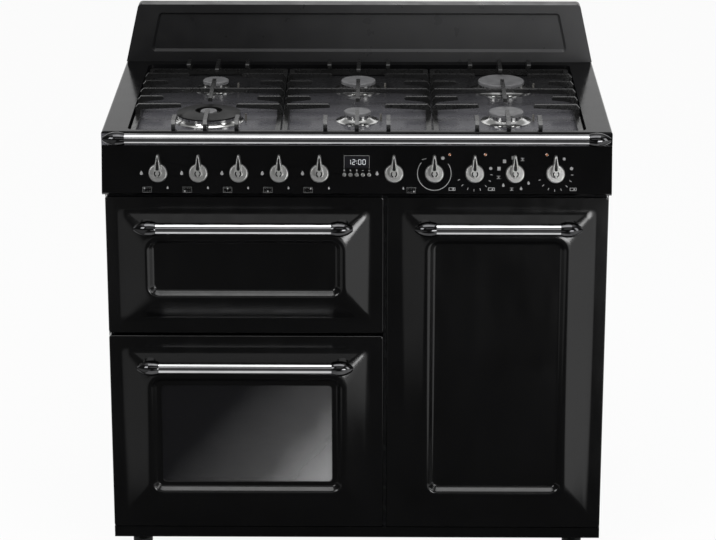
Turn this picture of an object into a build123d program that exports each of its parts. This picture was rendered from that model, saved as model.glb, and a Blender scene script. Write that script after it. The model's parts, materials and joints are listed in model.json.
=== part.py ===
# Range cooker with a six burner gas hob and three ovens.
# Millimetres, +Z up, front towards -Y, origin on the floor under the middle of the box.
import os
from math import atan2, cos, sin, tan

from build123d import *

os.makedirs("parts", exist_ok=True)

# Overall
width = 1000.0
body_depth = 600.0          # door border plane to the back edge of the side panels
hob_height = 900.0
foot_height = 31.0
sheet = 2.0                 # enamelled steel sheet
fit = 0.3                   # gap where one piece drops into another
running = 0.05              # radial gap of pins and spindles in their bores

# Handles and towel rail
handle_bar = 24.0           # bar diameter
bar_wall = 1.5              # the bars are tubes
handle_reach = 50.0         # bar centre in front of the door border
fitting_length = 43.0       # olive shaped end fittings
fitting_swell = 3.5         # fitting radius beyond the bar radius
fitting_belly = 15.0        # widest place, from the bar
fitting_lip = 1.0           # fitting radius beyond the bar where they meet
fitting_tip = 4.0
post_width = 24.0
post_height = 14.0
handle_drop = 51.0          # bar centre below the top of its door
handle_margin = 60.0        # fitting tip to the side of a left door
tall_handle_margin = 54.0   # the same on the tall door
rail_bar = 21.0
rail_reach = 26.0           # bar centre in front of the hob edge
rail_drop = 8.0             # bar centre below the hob rim
rail_margin = 5.0           # fitting tip to the side of the cooker

# Hob
hob_lead = 8.0              # hob edge in front of the door border
hob_band = 27.0             # height of the hob skirt
hob_edge = 4.0              # rounding along the rim
deck_drop = 18.0
deck_margin = 50.0          # flat rim at each side
deck_front = 14.0           # flat rim along the front
deck_back = 27.0            # flat strip before the backguard
deck_corner = 14.0
deck_draft = 3.0            # width of the sloping wall round the deck

# Backguard
guard_height = 125.0
guard_thick = 36.0
guard_taper = 28.0          # each side leans in by this much at the top
guard_corner = 9.0
guard_frame_side = 48.0
guard_frame_top = 18.0
guard_frame_foot = 22.0
guard_recess = 6.0
guard_draft = 40.0          # degrees, slope round the sunk panel

# Burners
grate_side = 3.0            # deck edge to the outer pan supports
cap_rear = (27.0, 36.0, 48.0)       # cap radii along each row, left to right
cap_front = (17.0, 27.0, 35.0)      # the first is the middle cap of the big burner
wok_outer = 64.0            # outer ring of the big burner
wok_eye = 27.0              # hole in the ring's cap
wok_edge = 2.5              # height of that cap's outer edge
row_front = 150.0           # rows, measured back from the hob edge
row_back = 400.0
cup_rise = 8.0
cup_sag = 3.6               # the spun slope passes this low
crown_height = 7.0
cap_height = 7.0
cap_round = 3.0
cap_overhang = 2.0          # cap beyond its crown
cup_lip = 2.0               # height of the cup's outer edge
cup_depth = 14.0            # below the deck
cup_flare = 16.0            # base radius beyond the cap radius
wok_flare = 6.0             # the same on the big burner
cup_step = 10.0             # neck radius inside the cap radius
slot_count = 20
slot_width = 2.4
slot_length = 8.0
slot_sill = 2.0             # crown left under the slots
crown_bore = 9.0            # inner radius of a crown
wok_ring = 13.0             # width of the big burner's outer flame ring
igniter_radius = 2.0

# Pan supports
grate_gap = 4.0
grate_front = 18.0          # measured back from the hob edge
grate_depth = 512.0
grate_bar = 10.0
grate_bar_height = 11.0
grate_foot = 2.0
pan_level = 17.0            # pan plane above the hob rim
finger_width = 8.0
finger_depth = 7.0          # height of a finger at its tip
finger_root = 11.0          # height of a finger at its root
finger_nose = 7.0           # drop of its sloping back
finger_back = 6.0           # length of that slope
tip_drop = 2.0
tip_back = 3.0
finger_long = 92.0
finger_short = 52.0
finger_end = 92.0           # middle fingers at the front and back
finger_step = 62.0          # between neighbouring fingers
bridge_reach = 80.0         # middle finger, each way from the cross bar

# Control panel
panel_height = 97.0
panel_top_lead = 8.0        # panel top in front of the door border
panel_foot_lead = 28.0      # panel foot in front of the door border
panel_chin = 5.0            # chamfer under the panel
knob_row = 53.5             # knob centres below the panel top
knob_first = 73.0           # first knob from the middle
knob_edge = 111.0           # last knob from the side of the cooker
skirt_radius = 18.8
skirt_height = 8.0
skirt_taper = 10.0          # degrees
skirt_round = 2.0
grip_root = 9.0             # pointer radius at the knob centre
grip_end = 3.2              # and at its tip
grip_tip = 37.0             # pointer tip from the knob centre
groove_root = 3.4           # groove along the pointer, radii of its ends
groove_end = 1.3
groove_start = 9.0
groove_stop = 29.0
groove_depth = 1.6
grip_lift = 3.0
grip_height = 19.0
grip_taper = 4.0            # degrees
grip_round = 1.0
knob_push = 4.0             # travel of a gas knob
knob_gap = 0.6              # left under a pushed gas knob
oven_knob_gap = 1.5
spindle_radius = 4.0
spindle_in_knob = 13.0
spindle_press = 0.02        # radial gap of a spindle in its knob
spindle_hole = 6.0          # radius of the panel holes
plug_radius = 7.0
plug_front = 20.0           # tap plug behind the panel face
plug_length = 30.0
tap_wall = 5.0
switch_side = 34.0
switch_corner = 3.0
switch_depth = 30.0
rail_tube = 9.0             # gas rail radius
rail_below = 29.0           # gas rail under the taps
feed_radius = 3.5
feed_bend = 14.0
inlet_radius = 10.48        # half inch male thread, outside
inlet_length = 20.0
inlet_edge = 60.0           # inlet to the side of the cooker
inlet_run = 320.0           # where the gas rail straightens, behind the panel
rail_bend = 36.0

# Clock
clock_width = 46.0
clock_height = 22.0
clock_lift = 22.0           # window centre above the knob row
clock_proud = 0.6
clock_body = 12.0
clock_round = 1.5
clock_lap = 3.0             # module beyond the window, behind the panel
button_radius = 3.6
button_pitch = 12.2
button_drop = 3.0           # button row below the knob row
button_proud = 2.6
button_round = 0.8
button_lip = 1.2            # flange beyond the button radius
button_flange = 1.2

# Doors
base_strip = 23.0           # height of the strip under the doors
base_back = 12.0            # strip behind the door border
door_floor = 60.0           # foot of the lower doors
door_gap = 6.0              # between the two left doors
door_side = 3.0             # body side to door side
door_top_gap = 11.0         # under the control panel
grill_door_height = 285.0
left_door_width = 550.0
mullion_gap = 7.0
skin_depth = 30.0
liner_depth = 5.0
seal_gap = 3.0
door_corner = 5.0
border = 30.0
bevel = 45.0
ridge = 8.0
recess_depth = 11.0         # ridge to the sunk panel
recess_draft = 11.0
moulding_rise = 20.0
moulding_corner = 14.0
ridge_corner = 8.0
ridge_round = 3.0
window_margin = 14.0        # glass opening inside the recessed panel
glass = 4.0
glass_lap = 8.0
liner_inset = 45.0
inner_window_margin = 60.0

# Hinges
axis_edge = 8.0             # hinge axis inside the door edge
axis_depth = 10.0           # hinge axis behind the door border
pin_radius = 3.0
pin_length = 34.0
arm_thick = 5.0
arm_half = 5.0
arm_room = 2.0
knuckle_height = 18.0
knuckle_depth = 19.0
hinge_inset = 70.0
flange_width = 30.0

# Ovens
left_wall = 60.0            # side of a left oven to the side of its door
right_wall = 58.0
oven_depth = 420.0
grill_sill = 55.0
grill_head = 50.0
oven_sill = 75.0
oven_head = 44.0
runner = 9.0
runner_thick = 3.0
wire = 3.0                  # shelf wire radius
shelf_clear = 8.0           # shelf to the fan
shelf_front = 12.0          # shelf to the oven mouth
shelf_bars = 9
oven_shelf_rise = 90.0
grill_shelf_rise = 60.0
tall_shelf_rises = (150.0, 330.0)
element = 3.5               # heating element radius
element_bend = 26.0
element_clear = 24.0
fan_radius = 70.0
fan_hub = 14.0
fan_blades = 10
fan_height = 26.0
fan_rake = 20.0             # degrees, blades
fan_gap = 8.0               # fan to the back wall
shaft_radius = 4.0
motor_radius = 38.0
motor_length = 55.0
seal_width = 8.0

# Carcass
rear_recess = 28.0          # rear cover inside the back edge
side_return = 14.0
foot_radius = 20.0
foot_stem = 8.0
foot_pad = 10.0
foot_inset = 55.0
vent_count = 9
vent_length = 60.0
vent_width = 6.0
vent_pitch = 24.0

# Places worked out from the sizes
overall_depth = body_depth + handle_reach + handle_bar / 2 + fitting_swell
back = overall_depth / 2
front = back - body_depth
hob_front = front - hob_lead
hob_bottom = hob_height - hob_band
deck = hob_height - deck_drop
panel_top = hob_bottom
panel_bottom = panel_top - panel_height
door_depth = skin_depth + liner_depth
frame_front = front + door_depth + seal_gap
rear_face = back - rear_recess
half = width / 2
inner_half = half - sheet
base_top = foot_height + sheet
door_top = panel_bottom - door_top_gap
grill_door_floor = door_top - grill_door_height
oven_door_top = grill_door_floor - door_gap
left_side = -half + door_side
left_inner = left_side + left_door_width
right_inner = left_inner + mullion_gap
right_side = half - door_side
recess_inset = border + bevel + ridge
sunk_rise = moulding_rise - recess_depth
shelf_back = fan_gap + fan_height + shelf_clear
hinge_y = front + axis_depth
burner_pitch = (width - 2 * deck_margin - 2 * grate_side) / 3
knob_pitch = (half - knob_edge - knob_first) / 4
inlet_side = half - inlet_edge
rows = {"front": hob_front + row_front, "rear": hob_front + row_back}
columns = {"left": -burner_pitch, "middle": 0.0, "right": burner_pitch}
cap_sizes = {}
for column, rear_cap, front_cap in zip(columns, cap_rear, cap_front):
    cap_sizes[(column, "rear")] = rear_cap
    cap_sizes[(column, "front")] = front_cap
wok = ("left", "front")

panel_slope = atan2(panel_foot_lead - panel_top_lead, panel_height - panel_chin)
panel_normal = (0.0, -cos(panel_slope), sin(panel_slope))
knob_z = panel_top - knob_row


def panel_face(z):
    # The control panel's face at a height.
    return front - panel_top_lead - (panel_top - z) * tan(panel_slope)


knob_y = panel_face(knob_z)


def facing(x, y, z):
    # A plane that looks out of the front, local x to the right and local y up.
    return Plane(origin=(x, y, z), x_dir=(1, 0, 0), z_dir=(0, -1, 0))


def panel_plane(x):
    # A plane on the control panel's face at the knob row.
    return Plane(origin=(x, knob_y, knob_z), x_dir=(1, 0, 0), z_dir=panel_normal)


def middle(span):
    return (span[0] + span[1]) / 2


def length(span):
    return span[1] - span[0]


def grown(span, amount):
    return (span[0] - amount, span[1] + amount)


def brick(x, y, z, mode=Mode.ADD):
    # A rectangle between two heights, from spans along each axis.
    with BuildSketch(Plane.XY.offset(z[0])) as base:
        with Locations((middle(x), middle(y))):
            Rectangle(length(x), length(y))
    extrude(base.sketch, amount=length(z), mode=mode)


def write(piece, name):
    piece.label = name
    export_step(piece, f"parts/{name}.step")


def group(name, solids):
    # Separate solids that share one node.
    write(Compound(children=list(solids)), name)


# Base frame: a tray with a front strip that shows under the doors
with BuildPart() as base_frame:
    brick((-inner_half, inner_half), (front + base_back, rear_face), (foot_height, base_top))
    brick((-inner_half, inner_half), (front + base_back, front + base_back + sheet),
          (foot_height, foot_height + base_strip))
    for side in (-inner_half, inner_half - sheet):
        brick((side, side + sheet), (front + base_back, frame_front), (foot_height, foot_height + base_strip))
write(base_frame.part, "base_frame")

# Feet
with BuildPart() as feet:
    foot_x = half - foot_inset
    foot_y = (front + base_back + foot_inset, rear_face - foot_inset)
    with BuildSketch():
        with Locations(*[(x, y) for x in (-foot_x, foot_x) for y in foot_y]):
            Circle(foot_radius)
    extrude(amount=foot_pad)
    with BuildSketch(Plane.XY.offset(foot_pad)):
        with Locations(*[(x, y) for x in (-foot_x, foot_x) for y in foot_y]):
            Circle(foot_stem)
    extrude(amount=foot_height - foot_pad)
write(feet.part, "feet")

# Side panels, each with a return folded inwards at the front and at the back
with BuildPart() as side_panels:
    for side in (-1, 1):
        outer = side * half
        inner = side * inner_half
        fold = side * (inner_half - side_return)
        with BuildSketch(Plane.XY.offset(foot_height)):
            with BuildLine():
                Polyline((outer, frame_front), (outer, back), (fold, back), (fold, back - sheet),
                         (inner, back - sheet), (inner, frame_front), (outer, frame_front))
            make_face()
        extrude(amount=hob_bottom - foot_height)
write(side_panels.part, "side_panels")

# Rear cover with a hole for the gas inlet and two rows of vents
rail_z = knob_z - rail_below
with BuildPart() as rear_cover:
    with BuildSketch(facing(0, rear_face, 0)):
        with Locations((0, (base_top + hob_bottom) / 2)):
            Rectangle(2 * inner_half, hob_bottom - base_top)
        with Locations((inlet_side, rail_z)):
            Circle(rail_tube + fit, mode=Mode.SUBTRACT)
        with Locations((0, panel_bottom - vent_length), (0, door_floor + 2 * vent_length)):
            with GridLocations(vent_pitch, 0, vent_count, 1):
                SlotOverall(vent_length, vent_width, rotation=90, mode=Mode.SUBTRACT)
    extrude(amount=sheet)
write(rear_cover.part, "rear_cover")

# Hob: a pressed top with a sunk deck and a hole under each burner
def burner_radius(place):
    return wok_outer if place == wok else cap_sizes[place]


def burner_point(place):
    column, row = place
    return (columns[column], rows[row])


def cup_hole(place):
    return burner_radius(place) - cup_step


deck_x = (-half + deck_margin, half - deck_margin)
deck_y = (hob_front + deck_front, back - guard_thick - deck_back)
with BuildPart() as hob_top:
    brick((-half, half), (hob_front, back), (hob_bottom, hob_height))
    fillet(hob_top.edges().group_by(Axis.Z)[-1], hob_edge)
    brick((-inner_half, inner_half), (hob_front + sheet, back - sheet), (hob_bottom, hob_height - sheet),
          mode=Mode.SUBTRACT)
    for spread, top, floor, mode in ((sheet, hob_height, deck - sheet, Mode.ADD),
                                     (0, hob_height, deck, Mode.SUBTRACT)):
        for level, inset in ((floor, deck_draft), (top, 0)):
            with BuildSketch(Plane.XY.offset(level)):
                with Locations((middle(deck_x), middle(deck_y))):
                    RectangleRounded(length(deck_x) + 2 * (spread - inset),
                                     length(deck_y) + 2 * (spread - inset), deck_corner)
        loft(mode=mode)
    for place in cap_sizes:
        with BuildSketch(Plane.XY.offset(deck)):
            with Locations(burner_point(place)):
                Circle(cup_hole(place) + fit)
        extrude(amount=-sheet, mode=Mode.SUBTRACT)
write(hob_top.part, "hob_top")

# Backguard: a tapering pressed upstand with a sunk panel
with BuildPart() as backguard:
    guard_plane = facing(0, back - guard_thick, hob_height)

    def guard_outline(side, top, foot):
        lean = guard_taper / guard_height
        top_z = guard_height - top
        with BuildLine() as edge:
            Polyline((-half + side + foot * lean, foot), (half - side - foot * lean, foot),
                     (half - side - top_z * lean, top_z), (-half + side + top_z * lean, top_z),
                     (-half + side + foot * lean, foot))
        make_face(edge.edges())

    with BuildSketch(guard_plane) as outline:
        guard_outline(0, 0, 0)
        fillet(outline.vertices().group_by(Axis.Y)[-1], guard_corner)
    extrude(amount=-guard_thick)
    with BuildSketch(guard_plane.offset(-sheet)) as hollow:
        guard_outline(sheet, sheet, 0)
        fillet(hollow.vertices().group_by(Axis.Y)[-1], guard_corner - sheet)
    extrude(amount=2 * sheet - guard_thick, mode=Mode.SUBTRACT)
    with BuildSketch(guard_plane) as tray:
        guard_outline(guard_frame_side - sheet, guard_frame_top - sheet, guard_frame_foot - sheet)
        fillet(tray.vertices(), guard_corner)
    extrude(amount=-guard_recess - sheet)
    with BuildSketch(guard_plane) as recess:
        guard_outline(guard_frame_side, guard_frame_top, guard_frame_foot)
        fillet(recess.vertices(), guard_corner)
    extrude(amount=-guard_recess, taper=guard_draft, mode=Mode.SUBTRACT)
write(backguard.part, "backguard")

# Control panel: a sloping pressed fascia, open at the back
knob_places = [side * (knob_first + knob_pitch * i) for side in (-1, 1) for i in range(5)]
knob_places.sort()
button_places = [button_pitch * (i - 2) for i in range(5)]
panel_back = frame_front


def panel_profile(inset):
    # Side view of the fascia, on local x towards the back and local y up.
    shift = inset / cos(panel_slope)
    top = (panel_face(panel_top - inset) + shift, panel_top - inset)
    foot = (front - panel_foot_lead + shift, panel_bottom + panel_chin)
    chin = (front - panel_foot_lead + panel_chin + shift, panel_bottom + inset)
    end = panel_back + (sheet if inset else 0)
    with BuildLine() as edge:
        Polyline(top, foot, chin, (end, panel_bottom + inset), (end, panel_top - inset), top)
    make_face(edge.edges())


with BuildPart() as control_panel:
    with BuildSketch(Plane.YZ.offset(-half)):
        panel_profile(0)
    extrude(amount=width)
    with BuildSketch(Plane.YZ.offset(-inner_half)):
        panel_profile(sheet)
    extrude(amount=2 * inner_half, mode=Mode.SUBTRACT)
    with BuildSketch(panel_plane(0).offset(sheet)):
        with Locations(*[(x, 0) for x in knob_places]):
            Circle(spindle_hole)
        with Locations((0, clock_lift)):
            Rectangle(clock_width + 2 * fit, clock_height + 2 * fit)
        with Locations(*[(x, -button_drop) for x in button_places]):
            Circle(button_radius + fit)
    extrude(amount=-3 * sheet, mode=Mode.SUBTRACT)
write(control_panel.part, "control_panel")

# Clock window with its module behind the panel
with BuildPart() as clock_display:
    with BuildSketch(panel_plane(0).offset(clock_proud)):
        with Locations((0, clock_lift)):
            RectangleRounded(clock_width, clock_height, clock_round)
    extrude(amount=-clock_proud - clock_body)
    with BuildSketch(panel_plane(0).offset(-sheet)):
        with Locations((0, clock_lift)):
            Rectangle(clock_width + 2 * clock_lap, clock_height + 2 * clock_lap)
    extrude(amount=sheet - clock_body)
write(clock_display.part, "clock_display")

# Push buttons with a flange behind the panel
for number, x in enumerate(button_places, start=1):
    with BuildPart() as clock_button:
        with BuildSketch(panel_plane(x).offset(button_proud)):
            with Locations((0, -button_drop)):
                Circle(button_radius)
        extrude(amount=-button_proud - sheet - fit - button_flange)
        fillet(clock_button.edges().filter_by(GeomType.CIRCLE).sort_by(Axis.Y)[0], button_round)
        with BuildSketch(panel_plane(x).offset(-sheet - fit)):
            with Locations((0, -button_drop)):
                Circle(button_radius + button_lip)
        extrude(amount=-button_flange)
    write(clock_button.part, f"clock_button_{number}")


def knob_body(x, stand_off, spindle_top):
    # Round skirt with a long pointer grip, bored for its spindle.
    seat = panel_plane(x).offset(stand_off)
    axis = Axis(seat.origin, seat.z_dir)
    with BuildPart() as knob:
        with BuildSketch(seat):
            Circle(skirt_radius)
        extrude(amount=skirt_height, taper=skirt_taper)
        fillet(knob.faces().sort_by(axis)[-1].edges(), skirt_round)
        with BuildSketch(seat.offset(grip_lift)):
            Circle(grip_root)
            with Locations((0, grip_tip - grip_end)):
                Circle(grip_end)
            make_hull()
        extrude(amount=grip_height, taper=grip_taper)
        fillet(knob.faces().sort_by(axis)[-1].edges(), grip_round)
        with BuildSketch(seat.offset(grip_lift + grip_height)):
            with Locations((0, groove_start)):
                Circle(groove_root)
            with Locations((0, groove_stop)):
                Circle(groove_end)
            make_hull()
        extrude(amount=-groove_depth, mode=Mode.SUBTRACT)
        with BuildSketch(seat):
            Circle(spindle_radius + spindle_press)
        extrude(amount=spindle_top + fit, mode=Mode.SUBTRACT)
    return knob.part


def spindle(x, low, high):
    with BuildPart() as rod:
        with BuildSketch(panel_plane(x).offset(low)):
            Circle(spindle_radius)
        extrude(amount=high - low)
    return rod.part


# Gas knobs and the tap plugs that they turn
gas_places = knob_places[:6]
gas_stand_off = knob_push + knob_gap
spindle_foot = -plug_front - 0.5 * plug_length
for number, x in enumerate(gas_places, start=1):
    group(f"gas_knob_{number}", [knob_body(x, gas_stand_off, spindle_in_knob),
                                 spindle(x, spindle_foot, gas_stand_off + spindle_in_knob)])
    with BuildPart() as tap_plug:
        with BuildSketch(panel_plane(x).offset(-plug_front)):
            Circle(plug_radius)
        extrude(amount=-plug_length)
        with BuildSketch(panel_plane(x).offset(-plug_front)):
            Circle(spindle_radius + running)
        extrude(amount=spindle_foot + plug_front - knob_push - 1, mode=Mode.SUBTRACT)
    write(tap_plug.part, f"tap_plug_{number}")

# Oven knobs and the switches behind them
oven_places = knob_places[6:]
oven_names = ("grill_knob", "oven_heat_knob", "oven_mode_knob", "tall_oven_knob")
for name, x in zip(oven_names, oven_places):
    group(name, [knob_body(x, oven_knob_gap, spindle_in_knob),
                 spindle(x, -0.5 * switch_depth, oven_knob_gap + spindle_in_knob)])
with BuildPart() as oven_switches:
    for x in oven_places:
        with BuildSketch(panel_plane(x).offset(-sheet)):
            RectangleRounded(switch_side, switch_side, switch_corner)
        extrude(amount=-switch_depth)
        with BuildSketch(panel_plane(x).offset(-sheet)):
            Circle(spindle_radius + running)
        extrude(amount=-0.5 * switch_depth, mode=Mode.SUBTRACT)
write(oven_switches.part, "oven_switches")

# Burners: spun cups on the deck, slotted crowns, caps and igniters
cup_top = deck + cup_rise
crown_top = cup_top + crown_height
feed_z = knob_z - (plug_front + plug_length) * sin(panel_slope)
crowns = []
caps = []
for place in cap_sizes:
    x, y = burner_point(place)
    cap = burner_radius(place)
    flange = cap + (wok_flare if place == wok else cup_flare)
    hole = cup_hole(place)
    with BuildPart() as cup:
        with BuildSketch(Plane.XZ.offset(-y)):
            with BuildLine():
                Polyline((x, deck - cup_depth), (x + hole, deck - cup_depth), (x + hole, deck),
                         (x + flange, deck), (x + flange, deck + cup_lip))
                ThreePointArc((x + flange, deck + cup_lip), (x + (flange + cap) / 2, deck + cup_sag),
                              (x + cap, cup_top))
                Polyline((x + cap, cup_top), (x, cup_top), (x, deck - cup_depth))
            make_face()
        revolve(axis=Axis((x, y, 0), (0, 0, 1)))
    crowns.append(cup.part)
    with BuildPart() as crown:
        with BuildSketch(Plane.XY.offset(cup_top)):
            with Locations((x, y)):
                Circle(cap - cap_overhang)
                Circle(cap - wok_ring if place == wok else crown_bore, mode=Mode.SUBTRACT)
        extrude(amount=crown_height)
        with BuildSketch(Plane.XY.offset(cup_top + slot_sill)):
            with Locations((x, y)):
                with PolarLocations(cap - cap_overhang, slot_count):
                    Rectangle(slot_length, slot_width)
        extrude(amount=crown_height, mode=Mode.SUBTRACT)
    crowns.append(crown.part)
    with BuildPart() as igniter:
        with BuildSketch(Plane.XY.offset(deck)):
            with Locations((x + flange + 2 * igniter_radius, y)):
                Circle(igniter_radius)
        extrude(amount=cup_rise + crown_height - fit)
    crowns.append(igniter.part)
    with BuildPart() as lid:
        with BuildSketch(Plane.XY.offset(crown_top)):
            with Locations((x, y)):
                Circle(cap)
        extrude(amount=cap_height)
        fillet(lid.edges().group_by(Axis.Z)[-1], cap_round)
        if place == wok:
            with BuildSketch(Plane.XZ.offset(-y)):
                with BuildLine():
                    Polyline((x, crown_top), (x + wok_eye, crown_top), (x + wok_eye, crown_top + cap_height),
                             (x + cap, crown_top + wok_edge), (x + cap, crown_top + 2 * cap_height),
                             (x, crown_top + 2 * cap_height), (x, crown_top))
                make_face()
            revolve(axis=Axis((x, y, 0), (0, 0, 1)), mode=Mode.SUBTRACT)
    caps.append(lid.part)
    if place == wok:
        small = cap_sizes[place]
        with BuildPart() as inner_crown:
            with BuildSketch(Plane.XY.offset(cup_top)):
                with Locations((x, y)):
                    Circle(small - cap_overhang)
            extrude(amount=crown_height)
            with BuildSketch(Plane.XY.offset(cup_top + slot_sill)):
                with Locations((x, y)):
                    with PolarLocations(small - cap_overhang, slot_count // 2):
                        Rectangle(slot_length, slot_width)
            extrude(amount=crown_height, mode=Mode.SUBTRACT)
        crowns.append(inner_crown.part)
        with BuildPart() as inner_lid:
            with BuildSketch(Plane.XY.offset(crown_top)):
                with Locations((x, y)):
                    Circle(small)
            extrude(amount=cap_height)
            fillet(inner_lid.edges().group_by(Axis.Z)[-1], cap_round)
        caps.append(inner_lid.part)
group("burner_bodies", crowns)
group("burner_caps", caps)

# Pan supports: a low cast frame with fingers that rise to the pan plane
grate_width = burner_pitch - grate_gap
grate_foot_z = deck + grate_foot
finger_top = hob_height + pan_level
grate_y = (hob_front + grate_front, hob_front + grate_front + grate_depth)


def finger(plane, reach):
    # One tapering finger, rising from the frame at local x 0 and running along local x.
    with BuildSketch(plane) as profile:
        with BuildLine():
            Polyline((0, grate_foot_z), (grate_bar, grate_foot_z),
                     (grate_bar, finger_top - finger_root),
                     (reach, finger_top - finger_depth), (reach, finger_top - tip_drop),
                     (reach - tip_back, finger_top),
                     (finger_back, finger_top), (0, finger_top - finger_nose), (0, grate_foot_z))
        make_face()
    extrude(profile.sketch, amount=finger_width / 2, both=True)


for name, column in columns.items():
    grate_x = (column - grate_width / 2, column + grate_width / 2)
    with BuildPart() as pan_support:
        with BuildSketch(Plane.XY.offset(grate_foot_z)):
            with Locations((column, middle(grate_y))):
                RectangleRounded(grate_width, grate_depth, grate_bar)
                Rectangle(grate_width - 2 * grate_bar, grate_depth - 2 * grate_bar, mode=Mode.SUBTRACT)
        extrude(amount=grate_bar_height)
        with BuildSketch(Plane.XY.offset(deck)):
            with Locations((column, middle(grate_y))):
                with GridLocations(grate_width - grate_bar, grate_depth - 3 * grate_bar, 2, 2):
                    Circle(grate_bar / 2)       # feet under the side bars, just past the corners
        extrude(amount=grate_foot + 1)
        cross_y = (rows["front"] + rows["rear"]) / 2
        for x, direction in ((grate_x[0], 1), (grate_x[1], -1)):
            for y, reach in ((rows["front"], finger_long), (rows["rear"], finger_long),
                             (cross_y, grate_width / 2), (rows["front"] + finger_step, finger_short),
                             (rows["rear"] - finger_step, finger_short)):
                finger(Plane(origin=(x, y, 0), x_dir=(direction, 0, 0), z_dir=(0, -direction, 0)), reach)
        for y, direction in ((grate_y[0], 1), (grate_y[1], -1)):
            for offset_x, reach in ((-finger_step, finger_short), (0, finger_end),
                                    (finger_step, finger_short)):
                finger(Plane(origin=(column + offset_x, y, 0), x_dir=(0, direction, 0),
                             z_dir=(direction, 0, 0)), reach)
        brick((column - finger_width / 2, column + finger_width / 2),
              (cross_y - bridge_reach, cross_y + bridge_reach), (finger_top - finger_depth, finger_top))
    write(pan_support.part, f"pan_support_{name}")


def olive(plane, bar, reach):
    # End fitting spun round the bar's axis, with its post running back by reach.
    # Local z is the bar's axis, outwards; local x runs towards the back.
    radius = bar / 2
    with BuildPart() as fitting:
        with BuildSketch(plane):
            Ellipse(post_width / 2, post_height / 2)
        extrude(amount=reach)
        profile = Plane(origin=plane.origin, x_dir=plane.x_dir, z_dir=plane.y_dir)
        with BuildSketch(profile):
            with BuildLine():
                start = -fitting_length / 2
                end = fitting_length / 2
                belly = (start + fitting_belly, radius + fitting_swell)
                Polyline((start, radius + fitting_lip), (start, 0), (end, 0), (end, fitting_tip))
                TangentArc(belly, (start, radius + fitting_lip), tangent=(-1, 0))
                TangentArc(belly, (end, fitting_tip), tangent=(1, 0))
            make_face()
        revolve(axis=Axis(plane.origin, plane.x_dir))
    return fitting.part


def bar_between(x, y, z, radius):
    with BuildPart() as bar:
        with BuildSketch(Plane(origin=(x[0], y, z), x_dir=(0, 1, 0), z_dir=(1, 0, 0))):
            Circle(radius)
            Circle(radius - bar_wall, mode=Mode.SUBTRACT)
        extrude(amount=length(x))
    return bar.part


def rail_pieces(x, y, z, bar, reach):
    # A round bar between two olive fittings; x spans tip to tip.
    ends = []
    for tip, direction in ((x[0], -1), (x[1], 1)):
        centre = tip - direction * fitting_length / 2
        plane = Plane(origin=(centre, y, z), x_dir=(direction, 0, 0), z_dir=(0, 1, 0))
        ends.append(olive(plane, bar, reach))
    return [bar_between(grown(x, -fitting_length), y, z, bar / 2)] + ends


# Towel rail along the hob edge
group("towel_rail", rail_pieces((-half + rail_margin, half - rail_margin), hob_front - rail_reach,
                                hob_height - rail_drop, rail_bar, rail_reach))

# Doors
left_x = (left_side, left_inner)
right_x = (right_inner, right_side)
grill_z = (grill_door_floor, door_top)
oven_z = (door_floor, oven_door_top)
tall_z = (door_floor, door_top)


def notch_boxes(x, z, side_hung):
    # Room in the door for each hinge arm as the door swings round it.
    inside = arm_half + arm_room
    thick = arm_thick / 2 + arm_room
    spans = []
    if side_hung:
        for height in (z[0] + hinge_inset, z[1] - hinge_inset):
            spans.append(((x[1] - axis_edge - inside, x[1] + 1), (hinge_y - inside, frame_front),
                          (height - thick, height + thick)))
    else:
        for place in (x[0] + hinge_inset, x[1] - hinge_inset):
            spans.append(((place - thick, place + thick), (hinge_y - inside, frame_front),
                          (z[0] - 1, z[0] + axis_edge + inside)))
    return spans


def moulding(plane, w, h, mode=Mode.ADD):
    # Raised bevel between the flat border and the ridge.
    with BuildSketch(plane) as foot:
        RectangleRounded(w - 2 * border, h - 2 * border, moulding_corner)
    with BuildSketch(plane.offset(moulding_rise)) as top:
        RectangleRounded(w - 2 * (border + bevel), h - 2 * (border + bevel), ridge_corner)
    loft((foot.sketch.face(), top.sketch.face()), mode=mode)


def sunk_panel(plane, w, h, floor, spread, mode=Mode.ADD):
    # Space inside the ridge, down to the flat panel.
    with BuildSketch(plane.offset(moulding_rise)) as mouth:
        RectangleRounded(w - 2 * (recess_inset - spread), h - 2 * (recess_inset - spread), ridge_corner)
    inset = recess_inset + recess_draft - spread
    with BuildSketch(plane.offset(sunk_rise - floor)) as bottom:
        RectangleRounded(w - 2 * inset, h - 2 * inset, ridge_corner)
    loft((mouth.sketch.face(), bottom.sketch.face()), mode=mode)


def door_skin(x, z, side_hung=False, window=False):
    # Pressed outer skin: flat border, raised moulding, sunk panel, hollow behind.
    w, h = length(x), length(z)
    plane = facing(middle(x), front, middle(z))
    with BuildPart() as skin:
        with BuildSketch(plane):
            RectangleRounded(w, h, door_corner)
        extrude(amount=-skin_depth)
        moulding(plane, w, h)
        with BuildSketch(plane.offset(-sheet)):
            RectangleRounded(w - 2 * sheet, h - 2 * sheet, door_corner - sheet)
        extrude(amount=-skin_depth, mode=Mode.SUBTRACT)
        moulding(plane.offset(-sheet), w, h, Mode.SUBTRACT)
        sunk_panel(plane, w, h, sheet, sheet)
        sunk_panel(plane, w, h, 0, 0, Mode.SUBTRACT)
        fillet(skin.edges().group_by(Axis.Y)[0], ridge_round)
        if window:
            inset = recess_inset + recess_draft + window_margin
            with BuildSketch(plane.offset(sunk_rise)):
                RectangleRounded(w - 2 * inset, h - 2 * inset, ridge_corner)
            extrude(amount=-2 * sheet, mode=Mode.SUBTRACT)
        for spans in notch_boxes(x, z, side_hung):
            brick(*spans, mode=Mode.SUBTRACT)
    return skin.part


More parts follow.
